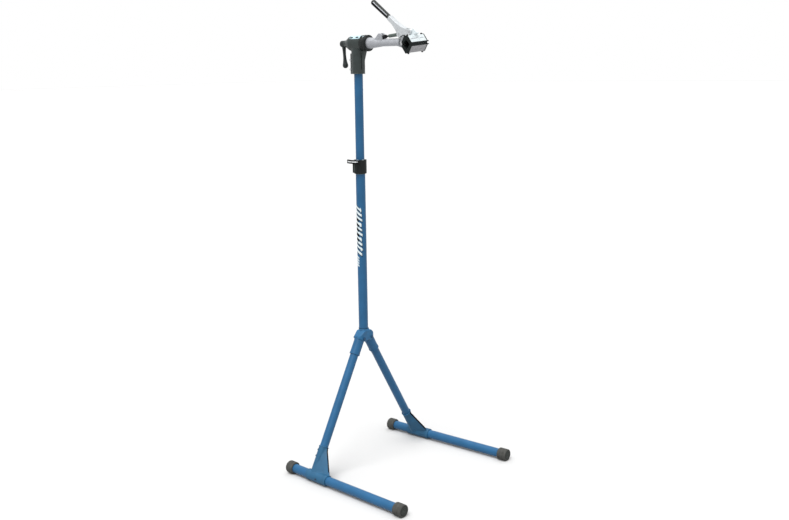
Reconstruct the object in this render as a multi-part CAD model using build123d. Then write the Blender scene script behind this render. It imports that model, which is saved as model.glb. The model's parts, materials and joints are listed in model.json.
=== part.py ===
from build123d import *
import math
import os

# Bike repair stand: two folding legs on long floor bars, a telescoping mast and a linkage clamp.
# Millimetres. +Z is up, +X is the way the clamp points, +Y is the right-hand leg's side.
# The origin is on the floor, at the centre of the footprint. Parts are drawn about the mast axis
# and moved to that origin when they are written. Clamp parts are drawn about the clamp arm's axis.

# ---- driving dimensions ----
TUBE_WALL = 1.25
LOWER_TUBE_R = 15.875            # 1 1/4 in tube
UPPER_TUBE_R = 14.2875           # 1 1/8 in tube
LOWER_TUBE_TOP = 1046.0
UPPER_TUBE_BOTTOM = 835.0
UPPER_TUBE_TOP = 1388.0

YOKE_TOP = 470.0                 # the lower tube stands on the yoke's ring here
YOKE_SPIGOT_TOP = 515.0
PIVOT_Y, PIVOT_Z = 19.5, 438.5   # leg hinge
PIVOT_BOLT_R = 4.0
CHEEK_OUT = 20.4                 # front and rear faces of the yoke
SHOULDER_R = 18.4                # the yoke's side outline about each hinge
KNUCKLE_ROOM_R = 17.7            # the yoke's hollows for the leg sleeves
CHEEK_DROP = 7.5                 # the yoke's lower edge, below the hinge along the leg
CROTCH_Z = 430.0

LEG_R = 14.3
LEG_SLEEVE_R = 17.15
LEG_SLEEVE_LENGTH = 60.0
LEG_LEAN = 1.0                   # degrees forward

BAR_Z = 20.2                     # floor bar axis height
BAR_Y = 265.0                    # floor bar axis at the mast
BAR_TOE = 2.1                    # degrees, the fronts stand wider
BAR_R = 15.0
BAR_WALL = 1.5
BAR_REAR, BAR_FRONT = -113.8, 411.6   # cap ends, along X from the mast
CAP_R = 20.6
REAR_CAP, FRONT_CAP = 30.0, 34.5
CAP_END = 5.0

BOOT_TOP = 106.0                 # height of the boot's top edge
BOOT_LEG_R = 16.2
BOOT_BAR_R = 18.2
BOOT_REAR, BOOT_FRONT = -19.0, 75.0
BOOT_NOSE_R = 2.5

COLLAR_R = 21.3
COLLAR_BOTTOM, COLLAR_TOP = 1004.0, 1050.0
LEVER_Z = 1044.5                 # collar bolt and lever height
COLLAR_BOLT_Y = -25.5
LEVER_PIN_X = 14.5

SOCKET_R = 22.0
SOCKET_BOTTOM = 1330.0
SOCKET_BOLT_X, SOCKET_BOLT_Z = -25.2, (1345.0, 1375.0)
ARM_Z = 1427.5                   # clamp arm axis
BARREL_R = 25.4
HEAD_FRONT = 42.0
HEAD_REAR = -56.0
SPINDLE_R = 10.0
HEAD_BORE_R = 15.0
RING_FRONT, RING_R = 50.0, 26.0
HUB_REAR, HUB_FRONT, HUB_R = -79.0, -58.0, 10.5

CLAMP_ROLL = 5.0                 # degrees the clamp is turned about its arm
ARM_BASE, ARM_BASE_R = 45.0, 17.8
ARM_R = 11.8
ARM_END = 184.0
LINK_A = (100.0, 16.7)           # linkage pivots, X and Z from the arm axis
LINK_B = (184.0, 24.0)
HANDLE_C = (226.0, 30.0)
JAW_D = (196.0, -3.0)
TONGUE_Y = 6.0
EAR_IN, EAR_OUT = 6.5, 10.5
CHEEK_Y0, CHEEK_Y1 = 6.0, 9.5

JAW_X, JAW_Z = 239.5, -5.5       # centre of the clamped tube
JAW_Y = 38.5
JAW_HEIGHT = 25.8                # outer top and bottom from the centre
JAW_FLAT, JAW_NOSE = 5.0, 18.0   # half widths of the outer hexagon
JAW_GAP = 6.0                    # shell edge from the centre
JAW_WALL = 3.0
COVER_Y = 42.0
GRIP_BORE_R = 11.0               # round seat in the covers
GRIP_TIP, GRIP_END = (76.5, 129.3), (141.5, 77.8)

RUNNING = 0.05                   # radial clearance of a turning fit

BAR_MID = (BAR_REAR + BAR_FRONT) / 2
MAST_X = -BAR_MID
LEG_TILT = math.degrees(math.atan2(BAR_Y - PIVOT_Y, PIVOT_Z - BAR_Z))
FOOT = (PIVOT_Z - BAR_Z) / math.cos(math.radians(LEG_TILT)) / math.cos(math.radians(LEG_LEAN))
LINK_ANGLE = math.degrees(math.atan2(LINK_B[1] - LINK_A[1], LINK_B[0] - LINK_A[0]))
LINK_LENGTH = math.dist(LINK_A, LINK_B)
HANDLE_ANGLE = math.degrees(math.atan2(GRIP_TIP[1] - GRIP_END[1], GRIP_TIP[0] - GRIP_END[0]))


# ---- helpers ----
def rod_x(radius, x0, x1, y=0.0, z=0.0):
    return Pos((x0 + x1) / 2, y, z) * Rot(0, 90, 0) * Cylinder(radius, abs(x1 - x0))


def rod_y(radius, y0, y1, x=0.0, z=0.0):
    return Pos(x, (y0 + y1) / 2, z) * Rot(90, 0, 0) * Cylinder(radius, abs(y1 - y0))


def rod_z(radius, z0, z1, x=0.0, y=0.0):
    return Pos(x, y, (z0 + z1) / 2) * Cylinder(radius, abs(z1 - z0))


def block(x0, x1, y0, y1, z0, z1):
    return Pos((x0 + x1) / 2, (y0 + y1) / 2, (z0 + z1) / 2) * Box(x1 - x0, y1 - y0, z1 - z0)


def polygon(points):
    return make_face(Polyline(*points, close=True))


def disc(radius, u, v):
    return Pos(u, v) * Circle(radius)


def hull(*faces):
    return make_hull([edge for face in faces for edge in face.edges()])


def plate_y(face, y0, y1):
    """A side outline in X and Z, from y0 to y1."""
    return Pos(0, y1, 0) * extrude(Plane.XZ * face, amount=y1 - y0)


def plate_x(face, x0, x1):
    """A front outline in Y and Z, from x0 to x1."""
    return Pos(x0, 0, 0) * extrude(Plane.YZ * face, amount=x1 - x0)


def turned_x(profile):
    """A solid of revolution about the X axis, from (x, radius) points."""
    return revolve(Plane.XY * polygon(profile), axis=Axis.X)


def both_sides(plate):
    """A plate on the +Y side and its mirror image."""
    return plate + mirror(plate, about=Plane.XZ)


def in_clamp(shape):
    return Pos(0, 0, ARM_Z) * Rot(CLAMP_ROLL, 0, 0) * shape


def write(name, shape):
    solid = Pos(MAST_X, 0, 0) * shape
    solid.label = name
    export_step(solid, os.path.join("parts", name + ".step"))


# ---- base ----
def lower_tube():
    outer = rod_z(LOWER_TUBE_R, YOKE_TOP, LOWER_TUBE_TOP)
    return outer - rod_z(LOWER_TUBE_R - TUBE_WALL, YOKE_TOP - 1, LOWER_TUBE_TOP + 1)


def yoke_casting():
    """A domed cap over the two leg knuckles, with a ring and a spigot for the mast."""
    ring_r = 19.2
    front = hull(disc(SHOULDER_R, PIVOT_Y, PIVOT_Z), disc(SHOULDER_R, -PIVOT_Y, PIVOT_Z),
                 disc(4, ring_r - 4, YOKE_TOP - 9), disc(4, 4 - ring_r, YOKE_TOP - 9))
    plan = hull(disc(CHEEK_OUT, 0, PIVOT_Y), disc(CHEEK_OUT, 0, -PIVOT_Y))
    body = plate_x(front, -CHEEK_OUT, CHEEK_OUT) & (Pos(0, 0, 400) * extrude(plan, amount=80))
    body -= block(-30, 30, -12, 12, 400, CROTCH_Z)
    for side in (-1, 1):
        knuckle = Pos(0, side * PIVOT_Y, PIVOT_Z)
        body -= knuckle * Sphere(KNUCKLE_ROOM_R)
        for tilt in (0, LEG_TILT / 2, LEG_TILT):
            body -= knuckle * Rot(side * tilt, 0, 0) * rod_z(KNUCKLE_ROOM_R, -60, 0)
        body -= knuckle * Rot(side * LEG_TILT, 0, 0) * block(-30, 30, -32, 32, -60, -CHEEK_DROP)
    body += rod_z(ring_r, YOKE_TOP - 12, YOKE_TOP)
    body += rod_z(LOWER_TUBE_R - TUBE_WALL, YOKE_TOP - 4, YOKE_SPIGOT_TOP)
    body -= rod_z(9, YOKE_TOP - 2, YOKE_SPIGOT_TOP + 1)
    for side in (-1, 1):
        body -= rod_x(PIVOT_BOLT_R, -CHEEK_OUT - 1, CHEEK_OUT + 1, side * PIVOT_Y, PIVOT_Z)
    return body


def leg_pivot_bolts():
    bolts = []
    for side in (-1, 1):
        y = side * PIVOT_Y
        head = Pos(CHEEK_OUT, y, PIVOT_Z) * Rot(0, 90, 0) * extrude(RegularPolygon(5.6, 6), amount=2.6)
        bolts.append(head + rod_x(PIVOT_BOLT_R, -CHEEK_OUT - 5, CHEEK_OUT, y, PIVOT_Z))
    return Compound(bolts)


def leg_pivot_nuts():
    nuts = []
    for side in (-1, 1):
        y = side * PIVOT_Y
        nut = Pos(-CHEEK_OUT - 4, y, PIVOT_Z) * Rot(0, 90, 0) * extrude(RegularPolygon(6.2, 6), amount=4)
        nuts.append(nut - rod_x(PIVOT_BOLT_R, -CHEEK_OUT - 8, -CHEEK_OUT + 1, y, PIVOT_Z))
    return Compound(nuts)


def quick_release_collar():
    ears = block(-8.5, 8.5, COLLAR_BOLT_Y - 4.5, -14, COLLAR_BOTTOM + 4, COLLAR_TOP)
    body = rod_z(COLLAR_R, COLLAR_BOTTOM, COLLAR_TOP) + fillet(ears.edges().filter_by(Axis.Z), 2.5)
    body = chamfer(body.edges().filter_by(GeomType.CIRCLE).group_by(Axis.Z)[0], 1)
    body -= rod_z(LOWER_TUBE_R, COLLAR_BOTTOM - 1, LOWER_TUBE_TOP)
    body -= rod_z(UPPER_TUBE_R + 0.4, COLLAR_BOTTOM, COLLAR_TOP + 1)
    body -= block(-1.2, 1.2, -40, 0, COLLAR_BOTTOM - 1, COLLAR_TOP + 1)
    return body - rod_x(2.6, -10, 10, COLLAR_BOLT_Y, LEVER_Z)


def collar_bolt():
    head = rod_x(4.2, -12.5, -8.5, COLLAR_BOLT_Y, LEVER_Z)
    barrel = rod_z(3.5, LEVER_Z - 5, LEVER_Z + 5, LEVER_PIN_X, COLLAR_BOLT_Y)
    return head + rod_x(2.6, -8.5, LEVER_PIN_X, COLLAR_BOLT_Y, LEVER_Z) + barrel


# ---- quick-release lever ----
def collar_lever():
    low, high = LEVER_Z - 7.0, LEVER_Z + 5.4
    path = Spline((LEVER_PIN_X, COLLAR_BOLT_Y - 5.5), (5, COLLAR_BOLT_Y - 9.5), (-13, COLLAR_BOLT_Y - 9), (-30, -28))
    arm = Pos(0, 0, low) * extrude(trace(path, line_width=6), amount=high - low)
    arm += rod_z(5.5, low, high, LEVER_PIN_X, COLLAR_BOLT_Y)
    arm -= rod_z(3.5 + RUNNING, low - 1, high + 1, LEVER_PIN_X, COLLAR_BOLT_Y)
    arm -= block(0, LEVER_PIN_X + 7, COLLAR_BOLT_Y, COLLAR_BOLT_Y + 8, LEVER_Z - 3.2, LEVER_Z + 3.2)
    return arm - block(0, LEVER_PIN_X, COLLAR_BOLT_Y - 3, COLLAR_BOLT_Y + 8, LEVER_Z - 3.2, LEVER_Z + 3.2)


# ---- legs: drawn hanging straight down from the hinge, then tilted to the floor bar ----
def on_leg(side, shape):
    return Pos(0, side * PIVOT_Y, PIVOT_Z) * Rot(side * LEG_TILT, 0, 0) * Rot(0, -LEG_LEAN, 0) * shape


def foot_point(side):
    lean = math.radians(LEG_LEAN)
    return FOOT * math.sin(lean), side * BAR_Y


def on_bar(side, shape):
    """Drawn along X with the mast at x = 0, then toed out about the foot."""
    return Pos(0, side * BAR_Y, BAR_Z) * Rot(0, 0, side * BAR_TOE) * shape


def bar_span(side, x0, x1, radius):
    cosine = math.cos(math.radians(BAR_TOE))
    return on_bar(side, rod_x(radius, x0 / cosine, x1 / cosine))


def leg_sleeve(side):
    body = rod_z(LEG_SLEEVE_R, -LEG_SLEEVE_LENGTH, 0) + Sphere(LEG_SLEEVE_R)
    body += rod_z(LEG_SLEEVE_R + 0.8, -LEG_SLEEVE_LENGTH, 5 - LEG_SLEEVE_LENGTH)
    body = fillet(body.edges().filter_by(GeomType.CIRCLE).group_by(Axis.Z)[0], 0.7)
    body -= rod_z(LEG_R, -LEG_SLEEVE_LENGTH - 1, -10)
    return on_leg(side, body) - rod_x(PIVOT_BOLT_R + RUNNING, -30, 30, side * PIVOT_Y, PIVOT_Z)


def leg_tube(side):
    body = rod_z(LEG_R, -FOOT, -10) - rod_z(LEG_R - TUBE_WALL, -FOOT - 1, -9)
    return on_leg(side, body) - bar_span(side, BAR_REAR, BAR_FRONT, BAR_R)


def boot(side):
    top = FOOT - (BOOT_TOP - BAR_Z) / math.cos(math.radians(LEG_TILT))
    bottom = FOOT - 14
    front = BOOT_FRONT - foot_point(side)[0]
    collar = disc(BOOT_LEG_R, 0, 0)
    upper = Pos(0, 0, -top) * hull(collar, disc(BOOT_NOSE_R, BOOT_LEG_R - 1, 0))
    lower = Pos(0, 0, -bottom) * hull(collar, disc(BOOT_NOSE_R, front - BOOT_NOSE_R - 2, 0))
    web = loft([upper, lower], ruled=True) + rod_z(BOOT_LEG_R, -FOOT, -bottom)
    seam = block(BOOT_LEG_R + 4, front + 20, -1.2, 1.2, -FOOT, -top + 1)
    body = on_leg(side, web - seam) + bar_span(side, BOOT_REAR, BOOT_FRONT, BOOT_BAR_R)
    body -= on_leg(side, rod_z(LEG_R, -FOOT, 0))
    body -= bar_span(side, BAR_REAR, BAR_FRONT, BAR_R)
    return body - boot_rivets(side)


def boot_rivets(side):
    heads = []
    for height in (BOOT_TOP - 12, BOOT_TOP - 30):
        down = FOOT - (height - BAR_Z) / math.cos(math.radians(LEG_TILT))
        heads.append(on_leg(side, Rot(0, 0, -40 * side) * rod_x(3, -BOOT_LEG_R - 1.4, -BOOT_LEG_R + 0.6, 0, -down)))
    heads.append(on_bar(side, rod_y(3.2, side * (BOOT_BAR_R - 0.6), side * (BOOT_BAR_R + 1.2), 33)))
    return Compound(heads)


def base_bar(side):
    body = bar_span(side, BAR_REAR + CAP_END, BAR_FRONT - CAP_END, BAR_R)
    return body - bar_span(side, BAR_REAR, BAR_FRONT, BAR_R - BAR_WALL)


def end_cap(side, x_end, length):
    inward = 1 if x_end < 0 else -1
    cosine = math.cos(math.radians(BAR_TOE))
    x0, x1 = sorted((x_end / cosine, x_end / cosine + inward * length))
    body = rod_x(CAP_R, x0, x1)
    body = fillet(body.edges().filter_by(GeomType.CIRCLE), 2.5)
    body -= block(x0, x1, -CAP_R, CAP_R, -CAP_R - 1, -BAR_Z)
    return on_bar(side, body) - bar_span(side, BAR_REAR + CAP_END, BAR_FRONT - CAP_END, BAR_R)


def front_cap(side):
    return end_cap(side, BAR_FRONT, FRONT_CAP)


def rear_cap(side):
    return end_cap(side, BAR_REAR, REAR_CAP)


# ---- telescoping mast ----
def glide_bush():
    bore = 7 + RUNNING
    body = rod_z(LOWER_TUBE_R - TUBE_WALL - RUNNING, UPPER_TUBE_BOTTOM - 25.2, UPPER_TUBE_BOTTOM - 3.3)
    body = chamfer(body.edges().filter_by(GeomType.CIRCLE), 1)
    return body - rod_z(bore, UPPER_TUBE_BOTTOM - 30, UPPER_TUBE_BOTTOM)


def tube_end_plug():
    spigot = rod_z(UPPER_TUBE_R - TUBE_WALL, UPPER_TUBE_BOTTOM, UPPER_TUBE_BOTTOM + 20)
    flange = rod_z(UPPER_TUBE_R, UPPER_TUBE_BOTTOM - 3, UPPER_TUBE_BOTTOM)
    pin = rod_z(7, UPPER_TUBE_BOTTOM - 25.5, UPPER_TUBE_BOTTOM - 3)
    return spigot + flange + pin - rod_z(2.5, UPPER_TUBE_BOTTOM - 30, UPPER_TUBE_BOTTOM - 5)


def glide_washer():
    body = rod_z(12, UPPER_TUBE_BOTTOM - 28.5, UPPER_TUBE_BOTTOM - 25.5)
    return body - rod_z(2.5, UPPER_TUBE_BOTTOM - 30, UPPER_TUBE_BOTTOM - 20)


def glide_screw():
    return rod_z(4.5, UPPER_TUBE_BOTTOM - 32, UPPER_TUBE_BOTTOM - 28.5) + rod_z(
        2.5, UPPER_TUBE_BOTTOM - 28.5, UPPER_TUBE_BOTTOM - 8)


def upper_tube():
    body = rod_z(UPPER_TUBE_R, UPPER_TUBE_BOTTOM, UPPER_TUBE_TOP)
    return body - rod_z(UPPER_TUBE_R - TUBE_WALL, UPPER_TUBE_BOTTOM - 1, UPPER_TUBE_TOP + 1)


def head_casting():
    barrel = turned_x([(HEAD_REAR, 0), (HEAD_REAR, 11), (-48, 12), (-30, 22.5), (-22, BARREL_R),
                       (HEAD_FRONT, BARREL_R), (HEAD_FRONT, 0)])
    barrel = Pos(0, 0, ARM_Z) * barrel
    socket = rod_z(SOCKET_R, SOCKET_BOTTOM, ARM_Z)
    ears = fillet(block(-29, -10, -8, 8, SOCKET_BOTTOM, SOCKET_BOTTOM + 66).edges().filter_by(Axis.Z), 3)
    rib = plate_y(polygon([(15, 1342), (25, 1375), (33, 1400), (38, ARM_Z - 12), (0, ARM_Z)]), -7, 7)
    body = barrel + socket + ears + rib
    body -= Pos(0, 0, ARM_Z) * rod_x(HEAD_BORE_R, -30, HEAD_FRONT + 1)
    body -= Pos(0, 0, ARM_Z) * rod_x(6, HEAD_REAR - 1, 0)
    body -= rod_z(UPPER_TUBE_R, SOCKET_BOTTOM - 1, UPPER_TUBE_TOP)
    body -= block(-35, -10, -1, 1, SOCKET_BOTTOM - 1, UPPER_TUBE_TOP - 4)
    for z in SOCKET_BOLT_Z:
        body -= rod_y(2, -10, 10, SOCKET_BOLT_X, z)
    return body


def socket_bolts():
    bolts = []
    for z in SOCKET_BOLT_Z:
        shank = rod_y(2, -8, 8, SOCKET_BOLT_X, z)
        bolts.append(shank + rod_y(3.5, -11.5, -8, SOCKET_BOLT_X, z) + rod_y(3.5, 8, 10.5, SOCKET_BOLT_X, z))
    return Compound(bolts)


def head_flange_ring():
    body = rod_x(RING_R, HEAD_FRONT, RING_FRONT)
    body = fillet(body.edges().filter_by(GeomType.CIRCLE), 1.5)
    return Pos(0, 0, ARM_Z) * (body - rod_x(18.6, HEAD_FRONT - 1, RING_FRONT + 1))


def bushing(x0, x1):
    return Pos(0, 0, ARM_Z) * (rod_x(HEAD_BORE_R, x0, x1) - rod_x(SPINDLE_R + RUNNING, x0 - 1, x1 + 1))


def front_bushing():
    return bushing(18, 41.5)


def rear_bushing():
    return bushing(-30, -8)


# ---- rotation lock handle ----
def lock_handle():
    hub = turned_x([(HUB_REAR, 0), (HUB_REAR, 8), (HUB_REAR + 3, HUB_R), (HUB_FRONT, HUB_R), (HUB_FRONT, 0)])
    side = Spline((7.4, -9), (5.6, -28), (5.6, -46), (9.2, -68))
    outline = Polyline((9.2, -68), (9.2, -70), (0, -70), (0, -2), (7.4, -2), (7.4, -9)) + side
    lever = revolve(Plane.XZ * make_face(outline), axis=Axis.Z) + Pos(0, 0, -70) * Sphere(9.3)
    body = hub + Pos(HUB_FRONT - 8.5, 0, 0) * Rot(0, -7.5, 0) * lever
    return Pos(0, 0, ARM_Z) * (body - rod_x(6, HUB_REAR + 4, HUB_FRONT + 1))


def lock_nut():
    body = rod_x(6, HUB_REAR + 4, HUB_FRONT) - rod_x(4 + RUNNING, HUB_REAR + 4, HUB_FRONT + 1)
    return Pos(0, 0, ARM_Z) * body


def lock_washer():
    return Pos(0, 0, ARM_Z) * (rod_x(9, HEAD_REAR - 2, HEAD_REAR - 0.3) - rod_x(4.4, HEAD_REAR - 3, HEAD_REAR))


# ---- clamp arm ----
def clamp_arm():
    body = turned_x([(ARM_BASE, 0), (ARM_BASE, ARM_BASE_R), (ARM_BASE + 9, ARM_BASE_R), (110, ARM_R),
                     (ARM_END, ARM_R), (ARM_END, 0)])
    boss = polygon([(76, 6), (95, 25), (100, 29.5), (107.5, 29.5), (112.5, 24), (114, 6)])
    body += fillet(plate_y(boss, -10, 10).edges().filter_by(Axis.Y), 3)
    tongue = hull(disc(9, *JAW_D), disc(11, ARM_END - 12, 0), disc(5.5, 224, -21))
    body += plate_y(tongue, -TONGUE_Y, TONGUE_Y)
    body -= block(84, 120, -4.4, 4.4, 10, 40)
    body -= rod_x(SPINDLE_R, ARM_BASE - 1, 75)
    body -= rod_y(3, -11, 11, LINK_A[0], LINK_A[1])
    body -= rod_y(4, -10, 10, JAW_D[0], JAW_D[1])
    return in_clamp(body - jaw_outline_solid())


def spindle_shaft():
    body = rod_x(SPINDLE_R, -28, 75) - rod_x(4, -29, -5)
    return in_clamp(body)


def tension_stud():
    return in_clamp(rod_x(4, HUB_REAR + 5, -5))


def thrust_washer():
    return in_clamp(rod_x(17.5, HEAD_FRONT + 0.5, ARM_BASE) - rod_x(SPINDLE_R, 40, 50))


def boss_pin():
    return in_clamp(rod_y(3, -10.6, 10.6, LINK_A[0], LINK_A[1]))


def jaw_pivot_pin():
    body = rod_y(4, -EAR_OUT - 2.5, EAR_OUT + 0.5, JAW_D[0], JAW_D[1])
    return in_clamp(body + rod_y(6, -EAR_OUT - 2.5, -EAR_OUT - 0.3, JAW_D[0], JAW_D[1]))


# ---- jaws: half-hexagon shells with rubber covers ----
def hexagon_half(up, inset=0.0):
    """One jaw's outline above (up = 1) or below (up = -1) the clamped tube's centre."""
    top = JAW_Z + up * (JAW_HEIGHT - inset)
    edge = JAW_Z + up * JAW_GAP
    slope = (JAW_NOSE - JAW_FLAT) / (JAW_HEIGHT - JAW_GAP)
    flat = JAW_FLAT - inset * 0.6
    nose = flat + slope * (JAW_HEIGHT - inset - JAW_GAP)
    return polygon([(JAW_X - nose, edge), (JAW_X - flat, top), (JAW_X + flat, top), (JAW_X + nose, edge)])


def jaw_outline_solid():
    return plate_y(hexagon_half(-1), -JAW_Y, JAW_Y)


def jaw_shell(up):
    shell = plate_y(hexagon_half(up), -JAW_Y, JAW_Y)
    return shell - plate_y(hexagon_half(up, JAW_WALL), -JAW_Y - 1, JAW_Y + 1)


def nub_places():
    return [y * 34.0 for y in (-1, 1)]


def lower_jaw():
    body = jaw_shell(-1)
    for y in nub_places():
        body -= rod_z(2.2, JAW_Z - JAW_HEIGHT - 1, JAW_Z - JAW_HEIGHT + JAW_WALL + 1, JAW_X, y)
    return in_clamp(body)


def jaw_cover(up):
    """Rubber lining with a square seat, a round groove on its axis and flanged ends."""
    fill = hexagon_half(up, JAW_WALL)
    flange = hexagon_half(up, -1.5)
    seat = polygon([(JAW_X - 13.5, JAW_Z), (JAW_X, JAW_Z + 15), (JAW_X + 13.5, JAW_Z), (JAW_X, JAW_Z - 15)])
    lip_low, lip_high = sorted((JAW_Z + up * 0.2, JAW_Z + up * JAW_GAP))
    lips = Pos(JAW_X, (lip_low + lip_high) / 2) * Rectangle(2 * JAW_NOSE - 1.0, lip_high - lip_low)
    body = plate_y(fill + lips, -JAW_Y, JAW_Y)
    for side in (-1, 1):
        y0, y1 = sorted((side * JAW_Y, side * COVER_Y))
        body += plate_y(flange + lips, y0, y1)
    for y in nub_places():
        z0, z1 = sorted((JAW_Z + up * (JAW_HEIGHT - JAW_WALL), JAW_Z + up * (JAW_HEIGHT + 3)))
        body += rod_z(2.2, z0, z1, JAW_X, y)
    opening = plate_y(seat + disc(GRIP_BORE_R, JAW_X, JAW_Z), -COVER_Y - 1, COVER_Y + 1)
    return in_clamp(body - opening)


def lower_jaw_cover():
    return jaw_cover(-1)


def upper_jaw_cover():
    return jaw_cover(1)


def upper_jaw():
    body = jaw_shell(1)
    for y in nub_places():
        body -= rod_z(2.2, JAW_Z + JAW_HEIGHT - JAW_WALL - 1, JAW_Z + JAW_HEIGHT + 1, JAW_X, y)
    top = JAW_Z + JAW_HEIGHT
    rib = polygon([(JAW_X - 9, top - 7), (HANDLE_C[0] - 8, HANDLE_C[1]), (HANDLE_C[0], HANDLE_C[1] + 7.5),
                   (234, 35.5), (238.5, 40.5), (243, 40), (255.5, 26), (JAW_X + 9, top - 7),
                   (JAW_X + 3, top - 1), (JAW_X - 3, top - 1)])
    body += plate_y(rib + disc(8, *HANDLE_C), -5.5, 5.5)
    ear = hull(disc(9.5, *JAW_D), disc(3.5, JAW_X - 11, 11))
    ear -= hexagon_half(1)
    body += both_sides(plate_y(ear, EAR_IN, EAR_OUT))
    body -= rod_y(3 + RUNNING, -20, 20, *HANDLE_C)
    body -= rod_y(4 + RUNNING, -20, 20, *JAW_D)
    return in_clamp(body)


# ---- clamp handle and toggle link ----
def clamp_handle():
    lower = Spline((140, 70.5), (157, 56), (169, 40.5), (176, 27))
    upper = Spline((226, 38), (209, 42.2), (193.6, 48.6), (178, 58.4), (162.8, 69.8), (148.6, 82.4))
    outline = make_face(lower + Polyline((176, 27), (184, 15), (200, 22), (226, 22), (234, 30), (226, 38))
                        + upper + Line((148.6, 82.4), (140, 70.5)))
    outline += disc(9, *LINK_B) + disc(8, *HANDLE_C)
    body = plate_y(outline, -CHEEK_Y1, CHEEK_Y1)
    pocket = polygon([(165, 5), (174, 36), (186, 42), (209, 31), (216, 60), (250, 60), (250, 5)])
    body -= plate_y(pocket, -CHEEK_Y0, CHEEK_Y0)
    tang = rod_x(4.5, -6, math.dist(GRIP_TIP, GRIP_END) - 8)
    body += Pos(GRIP_END[0], 0, GRIP_END[1]) * Rot(0, -HANDLE_ANGLE, 0) * tang
    body -= rod_y(3, -20, 20, *LINK_B)
    body -= rod_y(3, -20, 20, *HANDLE_C)
    return in_clamp(body)


def handle_grip():
    length = math.dist(GRIP_TIP, GRIP_END)
    body = turned_x([(0, 0), (0, 7.6), (length - 6, 8.8), (length - 1.5, 7.4), (length, 4.5), (length, 0)])
    body -= rod_x(4.5, -1, length - 8)
    return in_clamp(Pos(GRIP_END[0], 0, GRIP_END[1]) * Rot(0, -HANDLE_ANGLE, 0) * body)


def handle_pivot_pin():
    return in_clamp(rod_y(3, -CHEEK_Y1 - 0.5, CHEEK_Y1 + 0.5, *HANDLE_C))


def link_pin():
    return in_clamp(rod_y(3, -CHEEK_Y1 - 0.5, CHEEK_Y1 + 0.5, *LINK_B))


def on_link(shape):
    """Drawn along X from the boss pivot, then raised to the handle's link pin."""
    return in_clamp(Pos(LINK_A[0], 0, LINK_A[1]) * Rot(0, -LINK_ANGLE, 0) * shape)


def link_rod():
    body = rod_y(6, -4, 4) + rod_x(3, 0, 44)
    return on_link(body - rod_y(3 + RUNNING, -5, 5))


def link_barrel():
    body = rod_x(5.4, 38, 70) + rod_y(11, -4.5, 4.5, LINK_LENGTH) + block(66, 78, -4.5, 4.5, -5.4, 5.4)
    body = body - rod_x(3, 30, 44)
    return on_link(body - rod_y(8.2, -6, 6, LINK_LENGTH))


def adjusting_knob():
    body = fillet(rod_x(6, 15.5, 25).edges(), 0.8)
    for turn in range(0, 360, 30):
        angle = math.radians(turn)
        body -= rod_x(0.7, 15, 26, 6.2 * math.cos(angle), 6.2 * math.sin(angle))
    return on_link(body - rod_x(3 + RUNNING, 14, 27))


SINGLE = [lower_tube, yoke_casting, leg_pivot_bolts, leg_pivot_nuts, quick_release_collar, collar_bolt,
          collar_lever, glide_bush, tube_end_plug, glide_washer, glide_screw, upper_tube, head_casting,
          socket_bolts, head_flange_ring, front_bushing, rear_bushing, lock_handle, lock_nut, lock_washer,
          clamp_arm, spindle_shaft, tension_stud, thrust_washer, boss_pin, jaw_pivot_pin, lower_jaw,
          lower_jaw_cover, upper_jaw, upper_jaw_cover, clamp_handle, handle_grip, handle_pivot_pin, link_pin,
          link_rod, link_barrel, adjusting_knob]
PER_LEG = [leg_sleeve, leg_tube, boot, boot_rivets, base_bar, front_cap, rear_cap]

if __name__ == "__main__":
    os.makedirs("parts", exist_ok=True)
    for make in SINGLE:
        write(make.__name__, make())
    for side, name in ((-1, "left"), (1, "right")):
        for make in PER_LEG:
            write(name + "_" + make.__name__, make(side))
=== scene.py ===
import json
import math

import bmesh
import bpy
from mathutils import Matrix, Vector
from mathutils.bvhtree import BVHTree


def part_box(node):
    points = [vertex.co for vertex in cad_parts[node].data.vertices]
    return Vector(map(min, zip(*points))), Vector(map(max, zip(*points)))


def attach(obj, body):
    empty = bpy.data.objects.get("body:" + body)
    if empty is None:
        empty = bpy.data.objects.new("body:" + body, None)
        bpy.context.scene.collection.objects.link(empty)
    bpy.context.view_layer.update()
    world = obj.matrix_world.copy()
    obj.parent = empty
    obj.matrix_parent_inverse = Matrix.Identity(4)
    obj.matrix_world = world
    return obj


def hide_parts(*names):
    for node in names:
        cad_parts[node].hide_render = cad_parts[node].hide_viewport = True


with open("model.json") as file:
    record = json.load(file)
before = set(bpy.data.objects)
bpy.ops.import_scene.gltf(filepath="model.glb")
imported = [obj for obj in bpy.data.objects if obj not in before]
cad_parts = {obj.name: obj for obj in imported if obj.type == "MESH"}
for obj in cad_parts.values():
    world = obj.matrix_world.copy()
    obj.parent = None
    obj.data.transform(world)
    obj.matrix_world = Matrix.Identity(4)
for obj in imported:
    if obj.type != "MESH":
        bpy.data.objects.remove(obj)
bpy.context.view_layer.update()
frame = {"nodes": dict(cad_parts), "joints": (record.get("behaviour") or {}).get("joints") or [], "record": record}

# Looks of a folding bike repair stand. Metres, in the CAD frame: +X is the way the clamp points,
# +Z is up, and the left-hand leg is on the -Y side.
MM = 0.001


# ---- where things are, read from the frame ----
def middle(node):
    low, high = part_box(node)
    return (low + high) / 2


SIDES = ("left", "right")
MAST = middle("lower_tube")
RING = middle("head_flange_ring")
JAW_MOUNT = next(m for m in frame["record"]["mounts"] if m["name"] == "jaw_clamp")
ROLL = math.atan2(JAW_MOUNT["axis"][2], JAW_MOUNT["axis"][1])
CLAMP = Matrix.Translation((MAST.x, 0, RING.z)) @ Matrix.Rotation(ROLL, 4, "X")
JAW_X, JAW_Z = 239.5, -5.5       # centre of the jaws, in millimetres about the clamp arm's axis
UP = Vector((0, 0, 1))
CLAMP_UP = CLAMP.to_3x3() @ UP


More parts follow.
